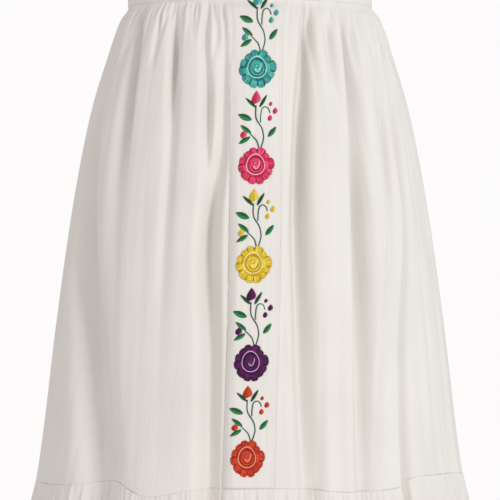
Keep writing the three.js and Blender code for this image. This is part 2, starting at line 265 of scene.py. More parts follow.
def topstitch(name, cloth, lines):
    """Row of machine stitches on a piece of cloth along lines in mm, sunk a little into the gauze."""
    mesh = cloth.data
    corners = [vertex.co for vertex in mesh.vertices]
    surface = BVHTree.FromPolygons(corners, [face.vertices for face in mesh.polygons])
    groups = []
    for line in lines:
        length = run_along(line)
        start = np.arange(0.4, length[-1] - SEWING["stitch"], SEWING["pitch"])[:, None]
        at = start + np.array([0, 0.5, 1]) * SEWING["stitch"]
        place = np.stack([np.interp(at, length, line[:, k]) for k in range(3)], axis=-1)
        found = [surface.find_nearest((point * MM).tolist())[:2] for point in place.reshape(-1, 3)]
        place = np.array([spot for spot, _ in found]).reshape(place.shape) / MM
        out = np.array([direction for _, direction in found]).reshape(place.shape)
        heading = place[:, 2:] - place[:, :1]
        heading = heading / np.linalg.norm(heading, axis=-1, keepdims=True)
        side = np.cross(heading, out) * SEWING["thread"] / 2
        middle = place + out * np.array(SEWING["lifts"])[None, :, None]
        rise = out * SEWING["thread"] / 2
        groups.append(np.stack([middle - side, middle + rise, middle + side, middle - rise], axis=2))
    seam = joined_tubes(name, groups)
    seam.data.materials.append(sewing_thread)
    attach(seam, "root")


def linear(hex_colour):
    """Linear colour of an sRGB hex value."""
    channels = [int(hex_colour[i : i + 2], 16) / 255 for i in (1, 3, 5)]
    return [c / 12.92 if c <= 0.04045 else ((c + 0.055) / 1.055) ** 2.4 for c in channels] + [1.0]


def add_node(owner, kind, settings=(), links=()):
    """Add a shader node: settings are (socket or property, value), links are (socket, source socket)."""
    node = owner.node_tree.nodes.new(kind)
    for key, value in settings:
        if isinstance(key, int) or key in node.inputs:
            node.inputs[key].default_value = value
        else:
            setattr(node, key, value)
    for socket, source in links:
        owner.node_tree.links.new(source, node.inputs[socket])
    return node


def new_material(name, sockets):
    """Material and its main shader, whose sockets take the given values."""
    material = bpy.data.materials.new(name)
    material.use_nodes = True
    shader = material.node_tree.nodes["Principled BSDF"]
    for socket, value in sockets.items():
        shader.inputs[socket].default_value = value
    return material, shader


def crinkled_gauze(name):
    """Slub cotton gauze, woven loosely and washed so that it crinkles lengthwise. The eye sees a soft matt
    off-white with fine long crinkles, a slightly cloudy tone and a few thick threads across."""
    matt = {"Roughness": 0.88, "Specular IOR Level": 0.25, "Sheen Weight": 0.12, "Sheen Roughness": 0.5}
    material, shader = new_material(name, matt)
    layout = add_node(material, "ShaderNodeUVMap", [("uv_map", "cloth")]).outputs["UV"]

    def pattern(width_mm, length_mm, detail):
        """Noise whose grains are so wide across the cloth and so long down it."""
        scale = (1 / (width_mm * MM), 1 / (length_mm * MM), 1)
        place = add_node(material, "ShaderNodeMapping", [("Scale", scale)], [("Vector", layout)])
        noise = [("Scale", 1.0), ("Detail", detail), ("Roughness", 0.55)]
        return add_node(material, "ShaderNodeTexNoise", noise, [("Vector", place.outputs[0])]).outputs["Fac"]

    crinkle, fine_crinkle, slub, cloud = [pattern(*grain) for grain in GAUZE_GRAINS]
    height = crinkle
    for grain, share in ((fine_crinkle, 0.3), (slub, 0.03)):
        added = [("operation", "MULTIPLY_ADD"), (1, share)]
        height = add_node(material, "ShaderNodeMath", added, [(0, grain), (2, height)]).outputs[0]
    relief = [("Strength", 1.0), ("Distance", CRINKLE_HEIGHT * MM)]
    bump = add_node(material, "ShaderNodeBump", relief, [("Height", height)])
    added = [("operation", "MULTIPLY_ADD"), (1, 0.35)]
    tone = add_node(material, "ShaderNodeMath", added, [(0, slub), (2, cloud)]).outputs[0]
    ramp = add_node(material, "ShaderNodeValToRGB", [], [("Fac", tone)])
    for stop, (position, colour) in zip(ramp.color_ramp.elements, ((0.45, "#D8D3CD"), (0.95, "#DDD8D2"))):
        stop.position, stop.color = position, linear(colour)
    material.node_tree.links.new(ramp.outputs["Color"], shader.inputs["Base Color"])
    material.node_tree.links.new(bump.outputs["Normal"], shader.inputs["Normal"])
    return material


# Crinkle of the gauze in mm, and its grains: width across, length down and detail of the crinkles, the
# finer ones, the thick threads and the cloudy tone. The threads of the weave itself are too fine to show.
CRINKLE_HEIGHT = 0.35
GAUZE_GRAINS = [(4.2, 90, 2.0), (1.3, 26, 1.0), (11, 1.6, 1.0), (60, 90, 1.0)]
gauze = crinkled_gauze("slub cotton gauze")
# The eye sees fine matt stitches a little warmer than the cloth
cotton = {"Base Color": linear("#DED7CD"), "Roughness": 0.7, "Specular IOR Level": 0.3}
sewing_thread, _ = new_material("undyed cotton sewing thread", cotton)

panel_z = np.linspace(-FRONT_NECK_DROP, PANEL_BOTTOM, PANEL_GRID["rows"])[:, None]
panel_share = np.linspace(0, 1, PANEL_GRID["columns"])[None, :]
panel_x = blend(panel_edge(panel_z, -1), panel_edge(panel_z, 1), panel_share)
panel_flat = np.stack(np.broadcast_arrays(panel_share * PANEL_WIDTH, -panel_z), axis=-1)
panel_crinkle = np.zeros(panel_x.shape)
crinkles = np.random.RandomState(5)
for _ in range(CRINKLES["count"]):
    place, lean = crinkles.uniform(0, 1), crinkles.uniform(*CRINKLES["lean"])
    middle, reach = crinkles.uniform(*CRINKLES["z"]), crinkles.uniform(*CRINKLES["reach"])
    track = place + lean * (panel_z - middle) / reach
    along = bell((panel_z - middle) / reach)
    crossing = bell((panel_share - track) * PANEL_WIDTH / crinkles.uniform(*CRINKLES["half_width"]))
    panel_crinkle -= crinkles.uniform(*CRINKLES["depth"]) * along * crossing
for _ in range(PUCKERS["count"]):
    side, middle = crinkles.choice([-1, 1]), crinkles.uniform(*PUCKERS["z"])
    inside = np.where(side < 0, panel_share, 1 - panel_share) * PANEL_WIDTH
    slant, reach = crinkles.uniform(*PUCKERS["lean"]), crinkles.uniform(*PUCKERS["reach"])
    crossing = bell((panel_z - middle - slant * inside) / crinkles.uniform(*PUCKERS["half_width"]))
    panel_crinkle -= crinkles.uniform(*PUCKERS["depth"]) * crossing * bell(inside / reach)
panel_relief = PANEL_RAISE + panel_crinkle - margin_dip(panel_share * PANEL_WIDTH, panel_z)
panel_points = front_surface(panel_x, panel_z + 0 * panel_x, panel_relief)
front_panel = cloth_shell("panel_cloth", panel_points, CLOTH_THICKNESS, panel_flat)
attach(front_panel, "root")
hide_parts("front_panel")
sides = (panel_points, panel_points[:, ::-1])
edges = [inset_line(grid.swapaxes(0, 1), PANEL_STITCHES_INSET) for grid in sides]
topstitch("panel_topstitch", front_panel, edges)

# ------------------------------------------------------------------------------
# Skirt. Two fronts and one back of the same gauze, each nearly a rectangle, drawn up in gathers to the
# waist seam and sewn to the panel's edges and at the sides. It falls from the gathers in long soft folds.

# Height of the ruffle seam round the skirt, in degrees from the front, positive towards +X
RUFFLE_SEAM = table(
    "angle z",
    (-180, -913), (-135, -917), (-90, -918), (-58, -915), (-39, -908), (-27, -921), (-12, -912), (8, -911),
    (29, -917), (40, -915), (50, -904), (68, -905), (90, -911), (135, -915), (180, -913),
)
# Large folds at five heights from the waist seam to the ruffle seam: the angles of their bottoms in
# degrees and their depths in mm, with the half widths of their sides towards -X and away from it in mm
FOLD_DROPS = (0, 0.25, 0.5, 0.75, 1)
FOLDS = table(
    "angles depths widths",
    ((-86, -76, -66, -53, -44.5), (3, 15, 26, 27, 21), (20, 29)),
    ((-57, -48, -45.5, -42, -39), (3, 10, 3, 1, 0), (16, 9)),
    ((-36, -28.2, -27, -25.6, -24), (2, 6, 4, 1, 0), (6, 11)),
    ((-19.6, -15.2, -13.4, -12.3, -11.5), (3, 7, 3, 0, 0), (6, 8)),
    ((-9, -9, -13.6, -11.6, -11.2), (0, 8, 18, 18, 17), (9, 16)),
    ((24.6, 17.4, 14.2, 14, 14.6), (4, 20, 22, 19, 16), (8, 17)),
    ((33, 30, 28, 25, 24), (4, 2, 1, 2, 3), (7, 9)),
    ((44.8, 39, 35.2, 33, 30.5), (4, 16, 23, 20, 14), (8, 17)),
    ((80, 62.9, 56.4, 47.4, 44.2), (1, 5, 9, 9, 12), (3, 8)),
    ((67.8, 54.1, 48, 39.2, 34.8), (1, 4, 4, 2, 0), (3, 7)),
    ((88, 82, 78, 75, 72), (2, 4, 3, 6, 8), (8, 10)),
    ((104, 109, 112, 115, 118), (3, 11, 15, 17, 15), (8, 16)),
    ((120, 124, 126, 127, 128), (5, 8, 4, 1, 0), (7, 10)),
    ((134, 137, 140, 142, 143), (3, 12, 19, 22, 19), (16, 7)),
    ((150, 152, 152, 151, 150), (5, 9, 6, 2, 1), (8, 9)),
    ((165, 164, 163, 161, 160), (3, 12, 17, 18, 15), (7, 17)),
    ((179, 178, 178, 180, 182), (5, 8, 4, 1, 0), (9, 8)),
    ((193, 195, 197, 199, 201), (4, 13, 20, 22, 19), (17, 7)),
    ((209, 211, 212, 213, 214), (5, 8, 5, 2, 0), (8, 9)),
    ((224, 223, 222, 220, 219), (3, 10, 15, 17, 16), (8, 15)),
    ((240, 238, 236, 237, 238), (5, 7, 5, 3, 2), (8, 9)),
    ((255, 253, 251, 249, 247), (3, 10, 15, 17, 14), (14, 9)),
)
# Folds are narrower by this share at the waist seam, and fade over this distance beside the panel, in mm
FOLD_WIDTH_AT_WAIST = 0.6
FOLD_FADE_AT_PANEL = 7.0
# Creases below the waist seam: where each starts, is deepest and ends, in mm below the seam, its angles
# at those three places in degrees, its depth and its half width in mm
CREASES = table(
    "drops angles depth half_width",
    ((0, 20, 120), (-59, -56, -49), 3.2, 3.6),
    ((6, 32, 95), (-55, -59, -66), 2.0, 4.5),
    ((0, 55, 200), (-56, -51, -46), 5.0, 3.6),
    ((0, 26, 80), (-43.5, -41.5, -40), 2.2, 2.8),
    ((0, 22, 90), (-36.5, -38.5, -41), 1.6, 2.8),
    ((0, 58, 150), (-34, -31.6, -27.5), 7.0, 3.2),
    ((0, 12, 42), (-27, -25.8, -24.5), 1.9, 2.2),
    ((0, 10, 34), (-24.9, -22.8, -21.5), 2.1, 2.2),
    ((0, 44, 84), (-18, -19.2, -16.5), 3.6, 3.2),
    ((0, 40, 80), (-16.2, -13.6, -14.6), 2.6, 2.8),
    ((64, 112, 225), (-16.4, -15.1, -15.8), 3.8, 5.0),
    ((0, 14, 60), (-14.8, -11.8, -9.6), 2.2, 2.2),
    ((0, 46, 170), (25, 22.6, 17), 6.4, 3.4),
    ((30, 170, 330), (18.5, 15.8, 14.2), 3.2, 3.6),
    ((0, 36, 120), (28, 25.3, 25), 2.4, 2.4),
    ((0, 40, 135), (36.4, 33.8, 31.5), 4.6, 3.8),
    ((0, 14, 45), (39.4, 37.4, 35.5), 2.4, 2.6),
    ((0, 48, 190), (46, 42, 35.5), 5.4, 3.6),
    ((0, 44, 110), (51, 47, 46), 2.8, 3.0),
    ((0, 16, 60), (56, 54.5, 53), 2.2, 3.0),
    ((8, 120, 370), (63, 53, 47.5), 3.2, 2.8),
    ((6, 120, 250), (72, 62, 58), 3.4, 3.4),
    ((0, 30, 90), (80, 78, 76), 2.4, 3.4),
    ((0, 40, 120), (-70, -69, -67), 2.4, 3.6),
    ((0, 50, 170), (100, 103, 108), 4.5, 3.8),
    ((0, 24, 80), (110, 111, 113), 2.2, 3.0),
    ((0, 60, 200), (126, 128, 131), 6.0, 3.8),
    ((0, 22, 75), (134, 133, 132), 2.0, 2.6),
    ((0, 34, 110), (142, 143, 145), 3.4, 3.2),
    ((0, 50, 180), (157, 158, 160), 5.5, 3.6),
    ((0, 18, 60), (164, 163, 162), 2.0, 2.6),
    ((0, 40, 140), (173, 172, 170), 4.0, 3.6),
    ((0, 26, 85), (183, 184, 186), 2.6, 3.0),
    ((0, 56, 210), (197, 198, 201), 6.0, 3.8),
    ((0, 20, 70), (205, 205, 206), 1.8, 2.6),
    ((0, 38, 130), (216, 215, 213), 3.6, 3.4),
    ((0, 30, 90), (226, 227, 229), 2.4, 3.0),
    ((0, 52, 190), (243, 241, 238), 5.0, 3.8),
    ((0, 26, 80), (254, 255, 257), 2.2, 3.0),
)
# A crease's half widths towards -X and away from it as shares, and the drop in mm over which it grows as
# wide again
CREASE_SIDES = (0.85, 1.25)
CREASE_SPREAD = 220.0
# All creases are deeper than listed by this share, and fade over this distance beside the panel, in mm
CREASE_DEEPENING = 1.3
CREASE_FADE_AT_PANEL = 5.0
# Faint long crinkles all over the cloth, and small gathers below a seam, each size drawn between two, in mm
RIPPLES_PER_GATHER = 3
RIPPLES = {"lean": 0.03, "reach": (40, 170), "depth": (0.2, 1.1), "half_width": (3.0, 9.0)}
GATHERS = {"length": (32, 80), "depth": (0.8, 2.8), "half_width": (1.2, 2.2), "spread": 60.0}
# Seam allowances, which lie inside the pieces beside and below: how far they reach and how deep they lie,
# in mm
ALLOWANCE = {"reach": np.array([0.9, 2.4, 6.0]), "sink": np.array([0.75, 0.95, 0.95])}
SEAM_ALLOWANCE = {"reach": (0.5, 1.4, 3.2), "sink": (0.55, 0.95, 1.25)}
SEAM_CRISPNESS = 0.5
SKIRT_LENGTH = 512.0
# Power that sets the rows of the cloth closer together near its upper seam
ROWS_TOWARDS_SEAM = 1.3
# The share of the folds at a seam itself, how far from it they are free, in mm, the distance from a side
# edge over which gathers start, and the reach below the waist seam over which the crinkles come to their
# own strength
FOLDS_AT_SEAM = 0.1
FREE_FROM_SEAM = 9.0
SIDE_FADE = 5.0
CRINKLED_FROM, CRINKLED_OVER = 60.0, 140.0
# Each piece with its grid, its gathers, the strengths of its gathers and of its crinkles, the sides on
# which it has an allowance, and its flat size in m
SKIRT_PIECES = table(
    "name node part columns rows gathers strengths allowances flat",
    ("skirt_left", "skirt_front_left", "left", 162, 126, 34, (1.7, 0.6), (1, -1), (0.33, 0.53)),
    ("skirt_right", "skirt_front_right", "right", 162, 126, 34, (1.5, 1.1), (-1, 1), (0.32, 0.53)),
    ("skirt_rear", "skirt_back", "back", 236, 92, 70, (1.3, 0.9), (), (0.71, 0.53)),
)


def wrapped(angle):
    """The same angle between minus and plus half a turn."""
    return (angle + math.pi) % (2 * math.pi) - math.pi


def seam_height(angle):
    turned = (np.degrees(angle) + 180) % 360 - 180
    return smooth(RUFFLE_SEAM, "angle", "z", turned)


def panel_angle(z, side):
    return np.arcsin((panel_edge(z, side) + side * SEAM_GAP) / half_width_at(z))


def side_angle(z, in_front):
    half = 1 if in_front else -1
    return math.pi / 2 - half * SEAM_GAP / 2 / depth_at(z, in_front)


def part_angles(part, z, share):
    """Angles from the front of a piece of the dress, at heights and shares of its width."""
    in_front, behind = side_angle(z, True), side_angle(z, False)
    start, end = {
        "left": (-in_front, panel_angle(z, -1)),
        "right": (panel_angle(z, 1), in_front),
        "front": (-in_front, in_front),
        "back": (behind, 2 * math.pi - behind),
    }[part]
    return blend(start, end, share)


def local_radius(angle, z):
    return np.hypot(half_width_at(z) * np.cos(angle), depth_at(z, np.cos(angle) >= 0) * np.sin(angle))


def fold_relief(angle, z, drop):
    """How far the large folds move the skirt out, in mm, which is nothing on the front panel."""
    radius = local_radius(angle, z)
    relief = np.zeros(np.broadcast(angle, z).shape)
    for fold in FOLDS:
        turn = wrapped(angle - np.radians(curve(FOLD_DROPS, fold["angles"], drop)))
        width = np.where(turn < 0, *fold["widths"]) * blend(FOLD_WIDTH_AT_WAIST, 1, drop)
        relief = relief - curve(FOLD_DROPS, fold["depths"], drop) * bell(turn * radius / width)
    share = np.clip(from_panel(angle, z) / FOLD_FADE_AT_PANEL, 0, 1)
    beside = share * (2 - share)
    inside = (wrapped(angle) - panel_angle(z, -1)) * radius
    return relief * beside - margin_dip(inside, z) * (1 - beside)


def from_panel(angle, z):
    """Distance round the skirt from the nearer edge of the front panel, in mm."""
    turn = wrapped(angle)
    return np.maximum(panel_angle(z, -1) - turn, turn - panel_angle(z, 1)) * local_radius(angle, z)


def crease_relief(angle, z, down):
    """How far the creases below the waist seam move the skirt out, in mm."""
    radius = local_radius(angle, z)
    relief = np.zeros(np.broadcast(angle, z).shape)
    for crease in CREASES:
        start, peak, end = crease["drops"]
        turn = wrapped(angle - np.radians(curve(crease["drops"], crease["angles"], down)))
        rising, falling = ease((down - start) / (peak - start)), 1 - ease((down - peak) / (end - peak))
        width = crease["half_width"] * np.where(turn < 0, *CREASE_SIDES) * (1 + down / CREASE_SPREAD)
        depth = CREASE_DEEPENING * crease["depth"]
        relief = relief - depth * rising * falling * bell(turn * radius / width)
    return relief * ease(from_panel(angle, z) / CREASE_FADE_AT_PANEL)


def ripple_relief(share, down, width, count, seed):
    """Faint long crinkles all over a piece of cloth, in mm."""
    random = np.random.RandomState(seed)
    relief = 0
    for _ in range(count):
        place, lean = random.uniform(0, 1), random.uniform(-RIPPLES["lean"], RIPPLES["lean"])
        middle, reach = random.uniform(-0.1, 1.1) * SKIRT_LENGTH, random.uniform(*RIPPLES["reach"])
        depth, half = random.uniform(*RIPPLES["depth"]), random.uniform(*RIPPLES["half_width"])
        along = bell((down - middle) / reach)
        track = place + lean * (down - middle) / reach
        relief = relief - depth * along * bell((share - track) * width / half)
    return relief


def width_of(points):
    """Width of each row of a grid of points, in mm."""
    return np.sum(np.linalg.norm(np.diff(points, axis=1), axis=-1), axis=1)[:, None]


def away_from_sides(share, width):
    """Strength of gathers and crinkles across a piece, which is nothing at its side edges."""
    return np.clip(np.minimum(share, 1 - share) * width / SIDE_FADE, 0, 1)


def gather_relief(share, down, width, count, seed):
    """Small gathers that start at a seam, each with its own place, depth and length, in mm."""
    random = np.random.RandomState(seed)
    relief = 0
    for number in range(count):
        place = (number + random.uniform(0.25, 0.75)) / count
        depth, half = random.uniform(*GATHERS["depth"]), random.uniform(*GATHERS["half_width"])
        length = random.uniform(*GATHERS["length"])
        fade = np.clip(1 - down / length, 0, 1) * (1 - 0.6 * np.exp(-down / 3))
        spread = half * (1 + down / GATHERS["spread"])
        relief = relief - depth * fade * bell((share - place) * width / spread)
    return relief


for number, piece in enumerate(SKIRT_PIECES):
    share = np.linspace(0, 1, piece["columns"])[None, :]
    drop = np.linspace(0, 1, piece["rows"]) ** ROWS_TOWARDS_SEAM
    drop = np.concatenate([drop[:-1], [1 - SEAM_CRISPNESS / SKIRT_LENGTH, 1]])[:, None]
    z = blend(WAIST_Z, WAIST_Z - SKIRT_LENGTH, drop)
    for _ in range(3):
        angle = part_angles(piece["part"], z, share)
        z = blend(WAIST_Z, seam_height(angle), drop)
    width = width_of(trunk(angle, z))
    down = WAIST_Z - z
    inside = away_from_sides(share, width)
    relief = fold_relief(angle, z, drop) + crease_relief(angle, z, down)
    gathered, rippled = piece["strengths"]
    rippled = blend(1, rippled, ease((down - CRINKLED_FROM) / CRINKLED_OVER))
    gathers = piece["gathers"]
    relief = relief + inside * gathered * gather_relief(share, down, width, gathers, number + 3)
    ripples = ripple_relief(share, down, width, RIPPLES_PER_GATHER * gathers, number + 60)
    relief = relief + inside * rippled * ripples
    at_seam = blend(FOLDS_AT_SEAM, 1, ease(down / FREE_FROM_SEAM))
    relief = relief * at_seam
    across = share * piece["flat"][0] / MM + 0 * z
    for side in piece["allowances"]:
        edge = -1 if side > 0 else 0
        turn = ALLOWANCE["reach"] / local_radius(angle, z)[:, edge, None]
        extra = angle[:, edge, None] + side * turn
        extra_across = across[:, edge, None] + side * ALLOWANCE["reach"]
        extra_z = z[:, edge, None] + 0 * turn
        sink = fold_relief(extra, extra_z, drop) + crease_relief(extra, extra_z, WAIST_Z - extra_z)
        sink = sink * at_seam[:, edge, None] - ALLOWANCE["sink"]
        order = slice(None, None, side)
        parts = [(angle, extra), (z, extra_z), (relief, sink), (across, extra_across)]
        parts = [(cloth, allowance[:, order]) for cloth, allowance in parts]
        angle, z, relief, across = [np.concatenate(pair[::side], axis=1) for pair in parts]
    turned = list(zip(SEAM_ALLOWANCE["reach"], SEAM_ALLOWANCE["sink"]))
    angle = np.concatenate([*[angle[:1]] * len(turned), angle, *[angle[-1:]] * len(turned)])
    across = np.concatenate([*[across[:1]] * len(turned), across, *[across[-1:]] * len(turned)])
    above = [(z[:1] + reach, relief[:1] - sink) for reach, sink in reversed(turned)]
    below = [(z[-1:] - reach, relief[-1:] - sink) for reach, sink in turned]
    relief = np.concatenate([*[row for _, row in above], relief, *[row for _, row in below]])
    z = np.concatenate([*[row for row, _ in above], z, *[row for row, _ in below]])
    flat = np.stack([across, WAIST_Z - z], axis=-1)
    skirt = cloth_shell(piece["name"], trunk(angle, z, relief), CLOTH_THICKNESS, flat)
    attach(skirt, "root")
    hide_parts(piece["node"])

# ------------------------------------------------------------------------------
# Hem ruffle. Two straight strips of the gauze, joined at the sides, drawn up in fine gathers on the lower
# edge of the skirt. They swing out in small waves to a narrow turned hem.

RUFFLE_LENGTH = 118.0
RUFFLE_THICKNESS = 0.45
RUFFLE_ROWS = 23
RUFFLE_ROWS_TOWARDS_SEAM = 1.2
RUFFLE_FLAT = (1.08, 0.125)
RUFFLE_MIDDLE_Z = -950.0
RUFFLE_WAVES = 46
FINE_GATHERS = 128
FOLD_LEFT_AT_HEM = 0.7
# Narrow hem turned twice, in mm: its width, how far its outside is raised, how much thicker it is, the inset
# of its stitches, and how far before its width it starts to thin at the neck and armholes, and over what
HEM = {"width": 7.0, "raise": 0.25, "extra": 0.7, "stitches": 5.8, "early": 2, "slope": 3}
# Heights of the waves and of the fine gathers in mm, at shares of the way down
WAVE_HEIGHTS = table(
    "down wave gather",
    (0, 0.1, 0.14),
    (0.05, 0.45, 0.5),
    (0.16, 1.4, 0.5),
    (0.45, 3.2, 0.25),
    (1, 4.6, 0.06),
)
RUFFLE_PIECES = table(
    "name node part columns",
    ("ruffle_fore", "ruffle_front", "front", 640),
    ("ruffle_rear", "ruffle_back", "back", 480),
)

for number, piece in enumerate(RUFFLE_PIECES):
    share = np.linspace(0, 1, piece["columns"])[None, :]
    down = np.linspace(0, 1, RUFFLE_ROWS) ** RUFFLE_ROWS_TOWARDS_SEAM
    near_seam = np.array([0, SEAM_CRISPNESS]) / RUFFLE_LENGTH
    near_hem = 1 - np.array([HEM["width"] + 0.4, HEM["width"] - 0.4, 0]) / RUFFLE_LENGTH
    down = np.concatenate([near_seam, down[1:-2], near_hem])[:, None]
    z = RUFFLE_MIDDLE_Z + 0 * share * down
    for _ in range(3):
        angle = part_angles(piece["part"], z, share)
        z = seam_height(angle) - SEAM_GAP - down * RUFFLE_LENGTH
    top = seam_height(angle)
    drift = 0.35 * np.sin(share * 23 + 1.0) + 0.25 * np.sin(share * 51 + number)
    unevenness = 0.8 + 0.2 * np.sin(share * 37 + 2 * number)
    broad = np.cos(2 * math.pi * (share * RUFFLE_WAVES + drift * np.sin(math.pi * share)))
    height = smooth(WAVE_HEIGHTS, "down", "wave", down) * unevenness
    fine_drift = 0.5 * np.sin(share * 71 + 0.5) + 0.3 * np.sin(share * 167)
    fine = np.cos(2 * math.pi * (share * FINE_GATHERS + fine_drift * np.sin(math.pi * share)))
    relief = fold_relief(angle, top, 1.0) * blend(1, FOLD_LEFT_AT_HEM, down)
    fine_height = smooth(WAVE_HEIGHTS, "down", "gather", down)
    fine_height = fine_height * (1 + 0.5 * np.sin(share * 90) * np.sin(share * 211))
    in_hem = np.where((1 - down) * RUFFLE_LENGTH < HEM["width"], 1.0, 0.0) + 0 * share
    relief = relief + height * broad + fine_height * fine + HEM["raise"] * in_hem
    flat = np.stack(np.broadcast_arrays(share * RUFFLE_FLAT[0] / MM, down * RUFFLE_LENGTH), axis=-1)
    thickness = RUFFLE_THICKNESS + HEM["extra"] * in_hem[..., None]
    outer = trunk(angle, z, relief)
    ruffle = cloth_shell(piece["name"], outer, thickness, flat)
    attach(ruffle, "root")
    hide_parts(piece["node"])
    topstitch(f"{piece['name']}_hem_stitches", ruffle, [inset_line(outer[::-1], HEM["stitches"])])

# ------------------------------------------------------------------------------
# Bodice. Two fronts and one back of the gauze, with a round neck and bare armholes, gathered lightly into
# the waist seam. The neck and armhole edges are turned twice and stitched.

NECK_HALF_WIDTH = 88.0
BACK_NECK_DROP = 35.0
SHOULDER_TIP_X = 147.0
SHOULDER_DROP = 20.0
ARMHOLE_INSET = 14.0
ARMHOLE_LESS_AT_TOP = 0.3
NECK_SHARE = 5 / 12
BODICE_GATHER_HEIGHT = 1.2
# The share of the height above the underarm that has close rows, and the share of a front's width that
# follows the panel's edge
CLOSE_ROWS = 0.12
PANEL_EDGE_SHARE = 0.02
BODICE_GATHERED_Z = -350.0
BODICE_BOTTOM = -399.8
BODICE_FREE_FROM_SEAM = 6.0
BODICE_ROWS = {"top": 30, "bottom": 9, "plain": 26, "gathered": 22}
BODICE_PIECES = table(
    "name node part columns seed gathers flat area",
    ("bodice_left", "bodice_front_left", "left", 61, 11, 14, (0.22, 0.42), 0.072),
    ("bodice_right", "bodice_front_right", "right", 61, 12, 14, (0.22, 0.42), 0.070),
    ("bodice_rear", "bodice_back", "back", 121, 13, 28, (0.44, 0.42), 0.155),
)


def shoulder_z(x):
    along = np.maximum(0, np.abs(x) - NECK_HALF_WIDTH) / (SHOULDER_TIP_X - NECK_HALF_WIDTH)
    return SHOULDER_TOP - SHOULDER_DROP * along


def upper_sheet(x, lift, side):
    """Points over the chest (side -1) or the shoulder blades (side 1), in mm."""
    top = SECTIONS[0]
    across = np.sqrt(np.maximum(0.001, 1 - (x / top["half_width"]) ** 2))
    depth = top["front"] if side < 0 else top["back"]
    y = side * np.maximum(SEAM_GAP / 2, depth * across * np.cos(lift))
    return np.stack([x, y, blend(UNDERARM_Z, shoulder_z(x), np.sin(lift))], axis=-1)


def upper_rows(share_across, share_up, side, hand):
    """Rows of the bodice above the underarm on one hand, from the panel or the back's middle outwards."""
    drop = FRONT_NECK_DROP if side < 0 else BACK_NECK_DROP
    edge = (lambda z: hand * panel_edge(z, hand) + SEAM_GAP) if side < 0 else (lambda z: 0 * z)
    c, up = np.broadcast_arrays(share_across, share_up)
    neck_turn = np.minimum(c / NECK_SHARE, 1) * math.pi / 2
    in_neck = c < NECK_SHARE
    top_lift = np.where(in_neck, lift_at(-drop * np.cos(neck_turn)), math.pi / 2)
    neck_x = blend(edge(np.array(-drop)), NECK_HALF_WIDTH, np.sin(neck_turn))
    shoulder_x = blend(NECK_HALF_WIDTH, SHOULDER_TIP_X, (c - NECK_SHARE) / (1 - NECK_SHARE))
    top_x = np.where(in_neck, neck_x, shoulder_x)
    start = np.arcsin(edge(np.array(UNDERARM_Z)) / SECTIONS[0]["half_width"])
    ring_x = SECTIONS[0]["half_width"] * np.sin(blend(start, math.pi / 2, c))
    bow = np.sqrt(np.sin(math.pi * up)) * (1 - ARMHOLE_LESS_AT_TOP * up)
    x = blend(ring_x, top_x, up) - ARMHOLE_INSET * bow * c**2
    lift = up * top_lift
    at_edge = edge(blend(UNDERARM_Z, SHOULDER_TOP, np.sin(lift)))
    x = blend(at_edge, x, np.clip(c / PANEL_EDGE_SHARE, 0, 1))
    return upper_sheet(hand * x, lift, side)


def beside(edge, normal, hand):
    """Line of the hem's stitches on the cloth, beside its edge."""
    heading = np.gradient(edge, axis=0)
    heading /= np.linalg.norm(heading, axis=-1, keepdims=True)
    return edge + hand * HEM["stitches"] * np.cross(heading, normal)


for piece in BODICE_PIECES:
    above = np.linspace(UNDERARM_Z, BODICE_GATHERED_Z, BODICE_ROWS["plain"])[1:]
    gathered = np.linspace(BODICE_GATHERED_Z, BODICE_BOTTOM, BODICE_ROWS["gathered"])[1:-1]
    heights = np.concatenate([above, gathered, [BODICE_BOTTOM + 0.4, BODICE_BOTTOM]])[:, None]
    share = np.linspace(0, 1, piece["columns"])[None, :]
    angle = part_angles(piece["part"], heights, share)
    width = width_of(trunk(angle, heights + 0 * angle))
    inside = away_from_sides(share, width)
    gathers = gather_relief(share, heights - WAIST_Z, width, piece["gathers"], piece["seed"])
    relief = BODICE_GATHER_HEIGHT * inside * gathers
    relief = relief * blend(FOLDS_AT_SEAM, 1, ease((heights - WAIST_Z) / BODICE_FREE_FROM_SEAM))
    lower = trunk(angle, heights + 0 * angle, relief)
    top, bottom = [BODICE_ROWS[end] for end in ("top", "bottom")]
    up = np.concatenate([np.linspace(1, CLOSE_ROWS, top), np.linspace(CLOSE_ROWS, 0, bottom)[1:]])[:, None]
    if piece["part"] == "back":
        half = np.linspace(1, 0, piece["columns"] // 2 + 1)[None, :]
        halves = [upper_rows(half, up, 1, 1), upper_rows(half[:, ::-1], up, 1, -1)[:, 1:]]
        upper = np.concatenate(halves, axis=1)
    elif piece["part"] == "left":
        upper = upper_rows(1 - share, up, -1, -1)
    else:
        upper = upper_rows(share, up, -1, 1)
    outer = np.concatenate([upper, lower])
    step = np.linalg.norm(np.diff(outer, axis=0), axis=-1).mean(axis=1)
    down = np.concatenate([[0], np.cumsum(step)])[:, None]
    flat = np.stack(np.broadcast_arrays(share * piece["flat"][0] / MM, down), axis=-1)
    middles = {"left": 1 - share, "right": share, "back": np.abs(2 * share - 1)}
    neck, beside_armhole = middles[piece["part"]][0] <= NECK_SHARE, slice(0, len(up))
    out = outward(outer)
    edges = [(outer[0, neck], out[0, neck], 1)]
    if piece["part"] != "right":
        edges.append((outer[beside_armhole, 0], out[beside_armhole, 0], -1))
    if piece["part"] != "left":
        edges.append((outer[beside_armhole, -1], out[beside_armhole, -1], 1))
    rim = np.concatenate([edge for edge, _, _ in edges])
    gap = np.min([np.linalg.norm(outer - point, axis=-1) for point in rim], axis=0)
    in_hem = 1 - ease((gap - HEM["width"] + HEM["early"]) / HEM["slope"])[..., None]
    outer = outer + HEM["raise"] * in_hem * out
    bodice = cloth_shell(piece["name"], outer, CLOTH_THICKNESS + HEM["extra"] * in_hem, flat)
    topstitch(f"{piece['name']}_stitches", bodice, [beside(*edge) for edge in edges])
    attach(bodice, "root")
    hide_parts(piece["node"])

